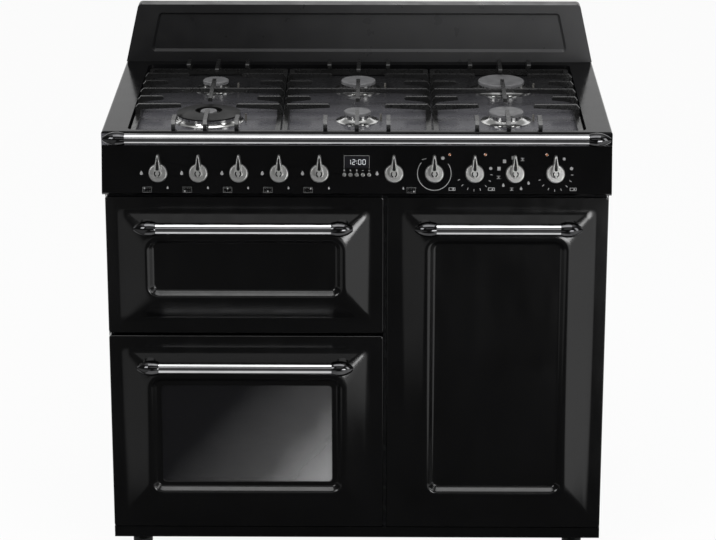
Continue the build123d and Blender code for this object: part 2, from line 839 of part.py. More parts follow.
def door_liner(x, z, side_hung=False, window=False):
    # Inner sheet that closes the door, pressed out towards the oven.
    w, h = length(x), length(z)
    plane = facing(middle(x), front + skin_depth, middle(z))
    with BuildPart() as liner:
        with BuildSketch(plane):
            RectangleRounded(w, h, door_corner)
        extrude(amount=-sheet)
        with BuildSketch(plane):
            RectangleRounded(w - 2 * liner_inset, h - 2 * liner_inset, moulding_corner)
        extrude(amount=-liner_depth)
        with BuildSketch(plane):
            RectangleRounded(w - 2 * (liner_inset + sheet), h - 2 * (liner_inset + sheet),
                             moulding_corner - sheet)
        extrude(amount=sheet - liner_depth, mode=Mode.SUBTRACT)
        if window:
            inset = liner_inset + inner_window_margin
            with BuildSketch(plane):
                RectangleRounded(w - 2 * inset, h - 2 * inset, moulding_corner)
            extrude(amount=-liner_depth, mode=Mode.SUBTRACT)
        for spans in notch_boxes(x, z, side_hung):
            brick(*spans, mode=Mode.SUBTRACT)
    return liner.part


def door_handle(x, z, margin):
    # The posts stop on the moulding, which they are cut to.
    w, h = length(x), length(z)
    plane = facing(middle(x), front, middle(z))
    with BuildPart() as face:
        with BuildSketch(plane):
            RectangleRounded(w, h, door_corner)
        extrude(amount=-skin_depth)
        moulding(plane, w, h)
    bar_x = grown(x, -margin)
    bar, left_end, right_end = rail_pieces(bar_x, front - handle_reach, z[1] - handle_drop, handle_bar,
                                           handle_reach)
    return [bar, left_end - face.part, right_end - face.part]


def knuckles(x, z, side_hung=False):
    # Blocks inside the door edge, bored for the hinge pins and notched for the arms.
    blocks = []
    y = (front + sheet, front + sheet + knuckle_depth)
    for spans in notch_boxes(x, z, side_hung):
        with BuildPart() as block:
            if side_hung:
                height = middle(spans[2])
                brick((x[1] - sheet - knuckle_height, x[1] - sheet), y,
                      (height - pin_length / 2, height + pin_length / 2))
                seat = Plane.XY.offset(height)
                with BuildSketch(seat):
                    with Locations((x[1] - axis_edge, hinge_y)):
                        Circle(pin_radius + running)
            else:
                place = middle(spans[0])
                brick((place - pin_length / 2, place + pin_length / 2), y,
                      (z[0] + sheet, z[0] + sheet + knuckle_height))
                seat = Plane.YZ.offset(place)
                with BuildSketch(seat):
                    with Locations((hinge_y, z[0] + axis_edge)):
                        Circle(pin_radius + running)
            extrude(amount=pin_length, both=True, mode=Mode.SUBTRACT)
            brick(*spans, mode=Mode.SUBTRACT)
        blocks.append(block.part)
    return blocks


def brackets(x, z, side_hung=False):
    # Arms on the front frame, each ending in the hinge pin.
    arms = []
    reach = (hinge_y, frame_front)
    plate = (frame_front - sheet, frame_front)
    for spans in notch_boxes(x, z, side_hung):
        with BuildPart() as arm:
            if side_hung:
                height = middle(spans[2])
                axis_x = x[1] - axis_edge
                seat = Plane.XY.offset(height)
                centre = (axis_x, hinge_y)
                brick((axis_x - arm_half, axis_x + arm_half), reach,
                      (height - arm_thick / 2, height + arm_thick / 2))
                brick((axis_x - flange_width + arm_half, axis_x + arm_half), plate,
                      (height - flange_width / 2, height + flange_width / 2))
            else:
                place = middle(spans[0])
                axis_z = z[0] + axis_edge
                seat = Plane.YZ.offset(place)
                centre = (hinge_y, axis_z)
                brick((place - arm_thick / 2, place + arm_thick / 2), reach,
                      (axis_z - arm_half, axis_z + arm_half))
                brick((place - flange_width / 2, place + flange_width / 2), plate,
                      (axis_z - arm_half, axis_z - arm_half + flange_width))
            with BuildSketch(seat):
                with Locations(centre):
                    Circle(arm_half)
            extrude(amount=arm_thick / 2, both=True)
            with BuildSketch(seat):
                with Locations(centre):
                    Circle(pin_radius)
            extrude(amount=pin_length / 2, both=True)
        arms.append(arm.part)
    return arms


doors = (("grill_door", left_x, grill_z, False), ("oven_door", left_x, oven_z, False),
         ("tall_door", right_x, tall_z, True))
bracket_solids = []
for name, x, z, side_hung in doors:
    has_window = name == "oven_door"
    write(door_skin(x, z, side_hung, has_window), f"{name}_skin")
    write(door_liner(x, z, side_hung, has_window), f"{name}_liner")
    group(f"{name}_handle", door_handle(x, z, tall_handle_margin if side_hung else handle_margin))
    group(f"{name}_hinges", knuckles(x, z, side_hung))
    bracket_solids += brackets(x, z, side_hung)
group("hinge_brackets", bracket_solids)

# Oven window: an outer pane behind the sunk panel and an inner pane in the liner
panes = []
outer_inset = recess_inset + recess_draft + window_margin - glass_lap
inner_inset = liner_inset + inner_window_margin - glass_lap
inner_pane_y = front + skin_depth + liner_depth - sheet - glass
for inset, y in ((outer_inset, front - sunk_rise + sheet), (inner_inset, inner_pane_y)):
    with BuildPart() as pane:
        with BuildSketch(facing(middle(left_x), y, middle(oven_z))):
            RectangleRounded(length(left_x) - 2 * inset, length(oven_z) - 2 * inset, ridge_corner)
        extrude(amount=-glass)
    panes.append(pane.part)
group("oven_door_window", panes)

# Oven mouths behind the doors
grill_mouth = (grown(left_x, -left_wall), (grill_z[0] + grill_sill, grill_z[1] - grill_head))
oven_mouth = (grown(left_x, -left_wall), (oven_z[0] + oven_sill, oven_z[1] - oven_head))
tall_mouth = (grown(right_x, -right_wall), (tall_z[0] + oven_sill, tall_z[1] - grill_head))
mouths = (grill_mouth, oven_mouth, tall_mouth)

# Front frame with the three mouths
with BuildPart() as front_frame:
    with BuildSketch(facing(0, frame_front, 0)):
        with Locations((0, (base_top + panel_bottom) / 2)):
            Rectangle(2 * inner_half, panel_bottom - base_top)
        for x, z in mouths:
            with Locations((middle(x), middle(z))):
                Rectangle(length(x), length(z), mode=Mode.SUBTRACT)
    extrude(amount=-sheet)
write(front_frame.part, "front_frame")

# Seals on the front frame round each mouth
seals = []
for x, z in mouths:
    with BuildPart() as seal:
        with BuildSketch(facing(middle(x), frame_front, middle(z))):
            Rectangle(length(x) + 2 * seal_width, length(z) + 2 * seal_width)
            Rectangle(length(x), length(z), mode=Mode.SUBTRACT)
        extrude(amount=seal_gap - fit)
    seals.append(seal.part)
group("door_seals", seals)

cavity_front = frame_front + sheet
cavity_back = cavity_front + oven_depth


def cavity(mouth, runner_heights, shaft_hole=False):
    # Open fronted sheet box with shelf runners along both side walls.
    x, z = mouth
    with BuildPart() as box:
        with BuildSketch(facing(middle(x), cavity_front, middle(z))):
            Rectangle(length(x) + 2 * sheet, length(z) + 2 * sheet)
        extrude(amount=-oven_depth - sheet)
        with BuildSketch(facing(middle(x), cavity_front, middle(z))):
            Rectangle(length(x), length(z))
        extrude(amount=-oven_depth, mode=Mode.SUBTRACT)
        for height in runner_heights:
            for inner in (x[0], x[1] - runner):
                brick((inner, inner + runner), (cavity_front + shelf_front, cavity_back),
                      (z[0] + height - runner_thick, z[0] + height))
        if shaft_hole:
            with BuildSketch(facing(middle(x), cavity_back, middle(z))):
                Circle(shaft_radius + 1)
            extrude(amount=-sheet, mode=Mode.SUBTRACT)
    return box.part


write(cavity(grill_mouth, (grill_shelf_rise,)), "grill_cavity")
write(cavity(oven_mouth, (oven_shelf_rise,), True), "oven_cavity")
write(cavity(tall_mouth, tall_shelf_rises), "tall_oven_cavity")


def shelf(mouth, rise):
    # Welded wire shelf resting on a pair of runners.
    x, z = mouth
    bottom = z[0] + rise
    shelf_x = (x[0] + sheet, x[1] - sheet)
    shelf_y = (cavity_front + shelf_front, cavity_back - shelf_back)
    with BuildPart() as rack:
        for y in grown(shelf_y, -wire):
            with BuildSketch(Plane.YZ.offset(shelf_x[0])):
                with Locations((y, bottom + wire)):
                    Circle(wire)
            extrude(amount=length(shelf_x))
        with BuildSketch(facing(middle(shelf_x), shelf_y[0], bottom + wire)):
            with GridLocations((length(shelf_x) - 2 * wire) / (shelf_bars - 1), 0, shelf_bars, 1):
                Circle(wire)
        extrude(amount=-length(shelf_y))
    return rack.part


shelves = [shelf(grill_mouth, grill_shelf_rise), shelf(oven_mouth, oven_shelf_rise)]
shelves += [shelf(tall_mouth, rise) for rise in tall_shelf_rises]
group("oven_shelves", shelves)


def element_loop(x, z, loops):
    # A bent rod on the back wall that runs forwards in flat loops.
    reach = cavity_back - cavity_front - shelf_front - 2 * element_clear
    pitch = (length(x) - 2 * element_clear) / (2 * loops - 1)
    points = []
    for i in range(2 * loops):
        at_x = x[0] + element_clear + pitch * i
        near = (at_x, cavity_back - (0 if i in (0, 2 * loops - 1) else 3 * element_clear), z)
        far = (at_x, cavity_back - reach, z)
        points += [near, far] if i % 2 == 0 else [far, near]
    with BuildPart() as rod:
        with BuildLine() as path:
            FilletPolyline(*points, radius=min(element_bend, pitch / 2 - element))
        with BuildSketch(facing(points[0][0], cavity_back, z)):
            Circle(element)
        sweep(path=path.wires()[0])
    return rod.part


elements = [element_loop(grill_mouth[0], grill_mouth[1][1] - element_clear, 3),
            element_loop(oven_mouth[0], oven_mouth[1][1] - element_clear, 2),
            element_loop(tall_mouth[0], tall_mouth[1][1] - element_clear, 2),
            element_loop(tall_mouth[0], tall_mouth[1][0] + element_clear, 2)]
group("heating_elements", elements)

# Oven fan and its motor on the back of the main oven
fan_x = middle(oven_mouth[0])
fan_z = middle(oven_mouth[1])
fan_plane = facing(fan_x, cavity_back - fan_gap, fan_z)
with BuildPart() as oven_fan:
    with BuildSketch(fan_plane):
        Circle(fan_radius)
    extrude(amount=sheet)
    with BuildSketch(fan_plane):
        Circle(fan_hub)
        with PolarLocations((fan_hub + fan_radius) / 2, fan_blades):
            Rectangle(fan_radius - fan_hub, sheet, rotation=fan_rake)
    extrude(amount=fan_height)
    with BuildSketch(fan_plane):
        Circle(shaft_radius)
    extrude(amount=-fan_gap - sheet - motor_length / 2)
write(oven_fan.part, "oven_fan")

with BuildPart() as fan_motor:
    with BuildSketch(facing(fan_x, cavity_back + sheet, fan_z)):
        Circle(motor_radius)
    extrude(amount=-motor_length)
    with BuildSketch(facing(fan_x, cavity_back + sheet, fan_z)):
        Circle(shaft_radius + running)
    extrude(amount=-motor_length / 2 - 1, mode=Mode.SUBTRACT)
write(fan_motor.part, "fan_motor")

# Gas rail with its taps, feed pipes and inlet
tap_burners = [(column, row) for column in columns for row in ("rear", "front")]
tap_end = panel_plane(0).offset(-plug_front - plug_length)
rail_y = tap_end.origin.Y - 2 * rail_tube
with BuildPart() as gas_manifold:
    for x, place in zip(gas_places, tap_burners):
        with BuildSketch(panel_plane(x).offset(-plug_front)):
            Circle(plug_radius + tap_wall)
        extrude(amount=-plug_length - tap_wall)
        with BuildSketch(Plane.XY.offset(rail_z)):
            with Locations((x, rail_y)):
                Circle(plug_radius)
        extrude(amount=rail_below)
        burner_x, burner_y = burner_point(place)
        start = (x, tap_end.origin.Y + 1, feed_z)
        with BuildLine() as feed:
            FilletPolyline(start, (burner_x, burner_y, feed_z), (burner_x, burner_y, deck - cup_depth),
                           radius=feed_bend)
        run = Vector(burner_x - start[0], burner_y - start[1], 0)
        with BuildSketch(Plane(origin=start, z_dir=run)):
            Circle(feed_radius)
        sweep(path=feed.wires()[0])
    rail_start = (gas_places[0] - 2 * rail_tube, rail_y, rail_z)
    rail_turn = (gas_places[-1] + 2 * rail_tube, rail_y, rail_z)
    with BuildLine() as main_run:
        FilletPolyline(rail_start, rail_turn, (inlet_side, rail_y + inlet_run, rail_z),
                       (inlet_side, rear_face + 2 * fit, rail_z), radius=rail_bend)
    with BuildSketch(Plane(origin=rail_start, z_dir=(1, 0, 0))):
        Circle(rail_tube)
    sweep(path=main_run.wires()[0])
    with BuildSketch(facing(inlet_side, rear_face + fit, rail_z)):
        Circle(inlet_radius)
    extrude(amount=-inlet_length)
    for x in gas_places:
        with BuildSketch(panel_plane(x).offset(-plug_front + 1)):
            Circle(plug_radius + running)
        extrude(amount=-plug_length - 1 - running, mode=Mode.SUBTRACT)
write(gas_manifold.part, "gas_manifold")
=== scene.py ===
import json
import math

import bmesh
import bpy
from mathutils import Matrix, Vector


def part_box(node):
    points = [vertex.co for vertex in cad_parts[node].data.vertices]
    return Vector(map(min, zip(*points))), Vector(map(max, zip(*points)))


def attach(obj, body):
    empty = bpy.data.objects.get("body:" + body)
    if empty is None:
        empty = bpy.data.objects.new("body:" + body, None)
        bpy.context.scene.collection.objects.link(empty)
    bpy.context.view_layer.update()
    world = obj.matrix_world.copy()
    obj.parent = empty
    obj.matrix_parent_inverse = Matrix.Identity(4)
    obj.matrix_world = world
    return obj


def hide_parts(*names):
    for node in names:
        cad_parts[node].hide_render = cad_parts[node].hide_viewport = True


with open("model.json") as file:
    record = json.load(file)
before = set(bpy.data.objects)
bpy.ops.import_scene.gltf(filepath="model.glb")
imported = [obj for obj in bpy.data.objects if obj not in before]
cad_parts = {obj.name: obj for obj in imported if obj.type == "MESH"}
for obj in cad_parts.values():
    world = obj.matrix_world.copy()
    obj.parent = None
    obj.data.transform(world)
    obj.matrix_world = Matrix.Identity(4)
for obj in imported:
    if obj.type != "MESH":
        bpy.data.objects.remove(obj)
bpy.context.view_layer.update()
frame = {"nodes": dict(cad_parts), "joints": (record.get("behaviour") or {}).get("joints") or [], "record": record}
nodes = frame["nodes"]
scene = bpy.context.scene
scene.view_settings.view_transform = "Standard"
mm = 0.001
print("frame loaded:", len(nodes), "nodes")

# camera
cameraSet = {"place": (0.047, -5.475, 2.323), "down": 18.17, "left": 0.49, "lens": 138.6}
cameraData = bpy.data.cameras.new("photoCamera")
cameraData.sensor_width = 36.0
cameraData.sensor_fit = "HORIZONTAL"
cameraData.lens = cameraSet["lens"]
cameraData.clip_end = 60.0
camera = bpy.data.objects.new("photoCamera", cameraData)
camera.location = cameraSet["place"]
camera.rotation_euler = (math.radians(90.0 - cameraSet["down"]), 0.0, math.radians(cameraSet["left"]))
scene.collection.objects.link(camera)
scene.camera = camera
print("camera set")


# node helpers
def newFinish(name):
    mat = bpy.data.materials.new(name)
    mat.use_nodes = True
    tree = mat.node_tree
    return mat, tree, tree.nodes["Principled BSDF"]


def noiseField(tree, scale, detail=3.0, stretch=(1.0, 1.0, 1.0), rough=0.5):
    coords = tree.nodes.new("ShaderNodeTexCoord")
    mapping = tree.nodes.new("ShaderNodeMapping")
    mapping.inputs["Scale"].default_value = stretch
    noise = tree.nodes.new("ShaderNodeTexNoise")
    noise.inputs["Scale"].default_value = scale
    noise.inputs["Detail"].default_value = detail
    noise.inputs["Roughness"].default_value = rough
    tree.links.new(coords.outputs["Object"], mapping.inputs["Vector"])
    tree.links.new(mapping.outputs["Vector"], noise.inputs["Vector"])
    return noise.outputs["Fac"]


def speckField(tree, scale):
    coords = tree.nodes.new("ShaderNodeTexCoord")
    cells = tree.nodes.new("ShaderNodeTexVoronoi")
    cells.inputs["Scale"].default_value = scale
    tree.links.new(coords.outputs["Object"], cells.inputs["Vector"])
    return cells.outputs["Distance"]


def colourRamp(tree, value, stops):
    ramp = tree.nodes.new("ShaderNodeValToRGB")
    ends = ramp.color_ramp.elements
    ends[0].position, ends[0].color = stops[0][0], (*stops[0][1], 1.0)
    ends[1].position, ends[1].color = stops[-1][0], (*stops[-1][1], 1.0)
    for place, colour in stops[1:-1]:
        ends.new(place).color = (*colour, 1.0)
    tree.links.new(value, ramp.inputs["Fac"])
    return ramp.outputs["Color"]


def valueRange(tree, value, low, high, start=0.3, end=0.7):
    span = tree.nodes.new("ShaderNodeMapRange")
    span.inputs["From Min"].default_value = start
    span.inputs["From Max"].default_value = end
    span.inputs["To Min"].default_value = low
    span.inputs["To Max"].default_value = high
    tree.links.new(value, span.inputs["Value"])
    return span.outputs["Result"]


def bumpFrom(tree, shader, height, strength, distance):
    bump = tree.nodes.new("ShaderNodeBump")
    bump.inputs["Strength"].default_value = strength
    bump.inputs["Distance"].default_value = distance
    tree.links.new(height, bump.inputs["Height"])
    tree.links.new(bump.outputs["Normal"], shader.inputs["Normal"])


def shade(tree, shader, value, dark, light):
    # base colour between two shades
    tree.links.new(colourRamp(tree, value, [(0.3, dark), (0.7, light)]), shader.inputs["Base Color"])


def gloss(tree, shader, value, low, high):
    # roughness between two limits
    tree.links.new(valueRange(tree, value, low, high), shader.inputs["Roughness"])


def hazed(tree, value, scale, amount):
    # a value with some cloudiness added
    haze = tree.nodes.new("ShaderNodeMath")
    haze.operation = "MULTIPLY_ADD"
    haze.inputs[1].default_value = amount
    tree.links.new(noiseField(tree, scale, 4.0), haze.inputs[0])
    tree.links.new(value, haze.inputs[2])
    return haze.outputs[0]


def mathNode(tree, operation, first, second):
    node = tree.nodes.new("ShaderNodeMath")
    node.operation = operation
    for socket, value in zip(node.inputs, (first, second)):
        if isinstance(value, float):
            socket.default_value = value
        else:
            tree.links.new(value, socket)
    return node.outputs[0]


def softSpan(tree, value, limits, low, high):
    # a smooth step between two limits
    span = tree.nodes.new("ShaderNodeMapRange")
    span.interpolation_type = "SMOOTHSTEP"
    span.inputs["From Min"].default_value, span.inputs["From Max"].default_value = limits
    span.inputs["To Min"].default_value, span.inputs["To Max"].default_value = low, high
    tree.links.new(value, span.inputs["Value"])
    return span.outputs["Result"]


def rayKinds(tree):
    # rays from the camera, and these together with what mirrors and glass send on
    path = tree.nodes.new("ShaderNodeLightPath")
    eye = path.outputs["Is Camera Ray"]
    mirrored = mathNode(tree, "MAXIMUM", eye, path.outputs["Is Glossy Ray"])
    return eye, mathNode(tree, "MAXIMUM", mirrored, path.outputs["Is Transmission Ray"])


# finishes
def enamelFinish(name, dark, light, roughLow, roughHigh, specular=0.5):
    mat, tree, shader = newFinish(name)
    shade(tree, shader, noiseField(tree, 9.0, 4.0), dark, light)
    gloss(tree, shader, noiseField(tree, 26.0, 5.0, (1.0, 1.0, 0.35)), roughLow, roughHigh)
    shader.inputs["Specular IOR Level"].default_value = specular
    bumpFrom(tree, shader, noiseField(tree, 260.0, 2.0), 0.05, 0.0004)   # orange peel
    return mat


def paintedLightFade(name, axis, span, first, last, rough, specular=0.5):
    # painted light: satin enamel whose colour fades from one shade to another along an axis, standing in for how
    # light and reflections fall
    mat, tree, shader = newFinish(name)
    coords = tree.nodes.new("ShaderNodeTexCoord")
    split = tree.nodes.new("ShaderNodeSeparateXYZ")
    tree.links.new(coords.outputs["Object"], split.inputs["Vector"])
    along = valueRange(tree, hazed(tree, split.outputs[axis], 9.0, 0.06), 0.0, 1.0, *span)
    tree.links.new(colourRamp(tree, along, [(0.0, first), (1.0, last)]), shader.inputs["Base Color"])
    gloss(tree, shader, noiseField(tree, 26.0, 5.0), *rough)
    shader.inputs["Specular IOR Level"].default_value = specular
    bumpFrom(tree, shader, noiseField(tree, 260.0, 2.0), 0.05, 0.0004)
    return mat


def speckledEnamel(name, ground, fleck, rough):
    mat, tree, shader = newFinish(name)
    stops = [(0.0, fleck), (0.22, fleck), (0.3, ground), (1.0, ground)]
    tree.links.new(colourRamp(tree, speckField(tree, 420.0), stops), shader.inputs["Base Color"])
    gloss(tree, shader, noiseField(tree, 30.0), rough - 0.06, rough + 0.08)
    bumpFrom(tree, shader, noiseField(tree, 240.0, 2.0), 0.08, 0.0004)
    return mat


def metalFinish(name, dark, light, roughLow, roughHigh, grain=(1.0, 1.0, 1.0), scale=60.0, bump=0.02):
    mat, tree, shader = newFinish(name)
    shader.inputs["Metallic"].default_value = 1.0
    streak = noiseField(tree, scale, 4.0, grain)
    shade(tree, shader, streak, dark, light)
    gloss(tree, shader, noiseField(tree, scale * 1.7, 4.0, grain), roughLow, roughHigh)
    bumpFrom(tree, shader, streak, bump, 0.0003)
    return mat


def castFinish(name):
    mat, tree, shader = newFinish(name)
    shade(tree, shader, noiseField(tree, 14.0, 5.0), (0.004, 0.004, 0.004), (0.009, 0.009, 0.009))
    gloss(tree, shader, noiseField(tree, 120.0, 4.0), 0.24, 0.34)
    shader.inputs["Specular IOR Level"].default_value = 0.8
    bumpFrom(tree, shader, noiseField(tree, 700.0, 4.0), 0.12, 0.0005)
    return mat


def plasticFinish(name, dark, light, roughLow, roughHigh, grainScale=500.0):
    mat, tree, shader = newFinish(name)
    shade(tree, shader, noiseField(tree, 40.0), dark, light)
    gloss(tree, shader, noiseField(tree, 90.0), roughLow, roughHigh)
    bumpFrom(tree, shader, noiseField(tree, grainScale, 2.0), 0.12, 0.0004)
    return mat


def paintedLightGlass(name, alpha):
    # glass with painted light: its colour is paler towards the lower right
    mat, tree, shader = newFinish(name)
    coords = tree.nodes.new("ShaderNodeTexCoord")
    slant = tree.nodes.new("ShaderNodeVectorMath")
    slant.operation = "DOT_PRODUCT"
    slant.inputs[1].default_value = (2.6, 0.0, -2.2)
    tree.links.new(coords.outputs["Object"], slant.inputs[0])
    pale = valueRange(tree, hazed(tree, slant.outputs["Value"], 18.0, 0.12), 0.0, 1.0, -1.35, -0.3)
    stops = [(0.0, (0.008, 0.008, 0.009)), (0.5, (0.08, 0.08, 0.081)), (1.0, (0.5, 0.5, 0.505))]
    tree.links.new(colourRamp(tree, pale, stops), shader.inputs["Base Color"])
    gloss(tree, shader, noiseField(tree, 50.0, 4.0), 0.02, 0.06)
    shader.inputs["Alpha"].default_value = alpha
    return mat


def lampLens(name, dark, light, glow):
    mat, tree, shader = newFinish(name)
    shade(tree, shader, noiseField(tree, 900.0), dark, light)
    gloss(tree, shader, noiseField(tree, 700.0), 0.08, 0.2)
    shader.inputs["Emission Color"].default_value = (*light, 1.0)
    shader.inputs["Emission Strength"].default_value = glow
    return mat


finishes = {
    "black_enamel": enamelFinish("blackEnamel", (0.0008, 0.0008, 0.0009), (0.0018, 0.0018, 0.002),
                                 0.05, 0.11),
    "chrome": metalFinish("polishedChrome", (0.52, 0.52, 0.53), (0.6, 0.6, 0.61), 0.03, 0.08,
                          scale=35.0, bump=0.01),
    "knob_steel": metalFinish("satinKnobSteel", (0.5, 0.5, 0.49), (0.62, 0.62, 0.61), 0.32, 0.44,
                              (1.0, 1.0, 8.0), 160.0, 0.05),
    "button_steel": metalFinish("buttonSteel", (0.46, 0.46, 0.45), (0.62, 0.62, 0.61), 0.22, 0.34,
                                scale=420.0),
    "clock_glass": enamelFinish("clockGlass", (0.006, 0.006, 0.008), (0.012, 0.012, 0.014), 0.04, 0.09),
    "cast_iron": castFinish("castPanSupport"),
    "burner_alloy": metalFinish("burnerAlloy", (0.6, 0.6, 0.59), (0.76, 0.76, 0.75), 0.08, 0.18,
                                (1.0, 1.0, 6.0), 120.0, 0.04),
    "cap_enamel": plasticFinish("burnerCapEnamel", (0.12, 0.12, 0.124), (0.18, 0.18, 0.185), 0.32, 0.46,
                                900.0),
    "window_glass": paintedLightGlass("ovenGlassPaintedLight", 0.62),
    "oven_enamel": speckledEnamel("ovenEnamel", (0.035, 0.036, 0.04), (0.12, 0.12, 0.125), 0.24),
    "zinc_steel": metalFinish("zincSheet", (0.44, 0.45, 0.46), (0.54, 0.55, 0.56), 0.32, 0.44, scale=110.0),
    "element_steel": metalFinish("elementSheath", (0.12, 0.11, 0.1), (0.24, 0.22, 0.2), 0.4, 0.58,
                                 scale=80.0),
    "gas_brass": metalFinish("gasBrass", (0.55, 0.39, 0.16), (0.72, 0.55, 0.27), 0.24, 0.38, scale=70.0),
    "seal_rubber": plasticFinish("doorSealRubber", (0.02, 0.02, 0.02), (0.035, 0.035, 0.035), 0.6, 0.78),
    "switch_plastic": plasticFinish("switchPlastic", (0.5, 0.48, 0.44), (0.62, 0.6, 0.55), 0.4, 0.55),
    "foot_plastic": plasticFinish("footPlastic", (0.012, 0.012, 0.012), (0.025, 0.025, 0.025), 0.45, 0.6),
}
for part in frame["record"]["subparts"]:
    node = nodes[part["node"]]
    node.data.materials.clear()
    node.data.materials.append(finishes[part["material_slot"]])


def paintFaces(name, finish, chosen):
    # another finish on the faces whose middle is chosen
    mesh = nodes[name].data
    mesh.materials.append(finish)
    for face in mesh.polygons:
        if chosen(face.center / mm):
            face.material_index = len(mesh.materials) - 1


# the hob, whose sunk deck is less glossy than its rim and carries a painted reflection, and the backguard, which
# carries painted light
hobEnamel = enamelFinish("hobEnamel", (0.0022, 0.0022, 0.0024), (0.005, 0.005, 0.0054), 0.1, 0.18, 0.09)
# painted reflection: the deck's colour is pale at the front and dark at the rear
deckPaintedReflection = paintedLightFade("deckPaintedReflection", "Y", (-0.06, 0.16), (0.088, 0.087, 0.098), (0.012, 0.012, 0.013),
                        (0.22, 0.32))
# painted light: the backguard's colour is lighter towards the right
guardPaintedLight = paintedLightFade("guardPaintedLight", "X", (-0.25, 0.2), (0.01, 0.01, 0.0105), (0.036, 0.036, 0.037),
                         (0.26, 0.4), 0.3)
nodes["hob_top"].data.materials[0] = hobEnamel
nodes["backguard"].data.materials[0] = guardPaintedLight
deckTop = 883.0
paintFaces("hob_top", deckPaintedReflection, lambda c: c.z < deckTop)

# the big burner's black ring, and the igniters
blackCap = enamelFinish("blackCapEnamel", (0.003, 0.003, 0.003), (0.007, 0.007, 0.007), 0.34, 0.46, 0.25)
wokSpot = Vector((-298.0, -125.25))
wokHole, wokRing = 22.0, 70.0
paintFaces("burner_caps", blackCap, lambda c: wokHole < (c.xy - wokSpot).length < wokRing)
ceramic = plasticFinish("igniterCeramic", (0.1, 0.095, 0.085), (0.16, 0.15, 0.14), 0.3, 0.45, 900.0)
igniterSpots = [Vector(p) for p in ((-251.0, 124.75), (-224.0, -125.25), (56.0, 124.75), (47.0, -125.25),
                                    (366.0, 124.75), (353.0, -125.25))]
igniterReach = 2.6
paintFaces("burner_bodies", ceramic, lambda c: min((c.xy - p).length for p in igniterSpots) < igniterReach)

# dark end fittings of the chrome bars
darkChrome = metalFinish("darkChrome", (0.05, 0.05, 0.052), (0.09, 0.09, 0.092), 0.04, 0.1,
                         scale=35.0, bump=0.01)
chromeBars = ("towel_rail", "grill_door_handle", "oven_door_handle", "tall_door_handle")
fittingLength = 43.2
for name in chromeBars:
    low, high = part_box(name)
    left, right = low[0] / mm + fittingLength, high[0] / mm - fittingLength
    paintFaces(name, darkChrome, lambda c: c.x < left or c.x > right)


# pieces
def addPiece(shape, name, body, finish):
    bmesh.ops.recalc_face_normals(shape, faces=shape.faces)
    mesh = bpy.data.meshes.new(name)
    shape.to_mesh(mesh)
    shape.free()
    piece = bpy.data.objects.new(name, mesh)
    scene.collection.objects.link(piece)
    mesh.materials.append(finish)
    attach(piece, body)
    return piece


def smoothFaces(piece):
    for face in piece.data.polygons:
        face.use_smooth = True


def thicken(shape, faces, depth):
    # flat faces get a small thickness
    raised = bmesh.ops.extrude_face_region(shape, geom=faces)
    tops = [v for v in raised["geom"] if isinstance(v, bmesh.types.BMVert)]
    bmesh.ops.translate(shape, verts=tops, vec=(0.0, 0.0, depth))


jointOf = {j["name"]: j for j in frame["joints"]}
panelNormal = Vector(jointOf["tap_turn_1"]["axis"]).normalized()
panelUp = panelNormal.cross(Vector((1.0, 0.0, 0.0)))


def layOnPanel(shape, x, lift):
    # from millimetres across the panel, and out of its face, to the scene
    centre = Vector(jointOf["tap_turn_1"]["pos_m"])
    centre.x = x * mm
    turn = Matrix((Vector((1.0, 0.0, 0.0)), panelUp, panelNormal)).transposed().to_4x4()
    place = Matrix.Translation(centre + panelNormal * lift * mm) @ turn
    bmesh.ops.transform(shape, matrix=place @ Matrix.Scale(mm, 4), verts=shape.verts)


# printed marks, drawn flat in millimetres and then laid on the panel
def dot(shape, x, y, radius, steps=16):
    made = bmesh.ops.create_circle(shape, cap_ends=True, radius=radius, segments=steps)
    bmesh.ops.translate(shape, verts=made["verts"], vec=(x, y, 0.0))


def bar(shape, x, y, along, across, angle=0.0):
    made = bmesh.ops.create_grid(shape, x_segments=1, y_segments=1, size=0.5)
    bmesh.ops.scale(shape, verts=made["verts"], vec=(along, across, 1.0))
    bmesh.ops.rotate(shape, verts=made["verts"], matrix=Matrix.Rotation(math.radians(angle), 3, "Z"))
    bmesh.ops.translate(shape, verts=made["verts"], vec=(x, y, 0.0))


flameSet = {"round": 0.36, "narrow": 0.55, "stretch": 1.8, "drop": 0.14}


def flame(shape, x, y, height):
    radius = height * flameSet["round"]
    made = bmesh.ops.create_circle(shape, cap_ends=True, radius=radius, segments=20)
    for v in made["verts"]:
        if v.co.y > 0:                        # drawn out to a tip
            v.co.x *= 1.0 - flameSet["narrow"] * v.co.y / radius
            v.co.y *= flameSet["stretch"]
    bmesh.ops.translate(shape, verts=made["verts"], vec=(x, y - height * flameSet["drop"], 0.0))


def arc(shape, x, y, radius, across, start, sweep, steps=40):
    a = shape.verts.new((radius - across / 2, 0.0, 0.0))
    b = shape.verts.new((radius + across / 2, 0.0, 0.0))
    edge = shape.edges.new((a, b))
    bmesh.ops.rotate(shape, verts=[a, b], matrix=Matrix.Rotation(math.radians(start), 3, "Z"))
    before = set(shape.verts) - {a, b}
    bmesh.ops.spin(shape, geom=[edge, a, b], cent=(0, 0, 0), axis=(0, 0, 1), angle=math.radians(sweep),
                   steps=steps, use_duplicate=False)
    bmesh.ops.translate(shape, verts=[v for v in shape.verts if v not in before], vec=(x, y, 0.0))


iconSet = {"hob": (17.0, 10.5), "hobLine": 0.3, "burnerSteps": (5.0, 5.2), "marked": 1.6, "plain": 0.45,
           "cavity": (12.0, 5.0), "cavityLine": 1.0, "cavitySide": 6.0, "cavityDot": 2.0}


def hobIcon(shape, x, y, spot):
    # the hob from above, with one burner marked
    wide, high = iconSet["hob"]
    line = iconSet["hobLine"]
    stepX, stepY = iconSet["burnerSteps"]
    for side in (-1, 1):
        bar(shape, x, y + side * high / 2, wide, line)
        bar(shape, x + side * wide / 2, y, line, high)
    for column in range(3):
        for row in range(2):
            radius = iconSet["marked"] if (column, row) == spot else iconSet["plain"]
            dot(shape, x + (column - 1) * stepX, y + (row - 0.5) * stepY, radius, 12)


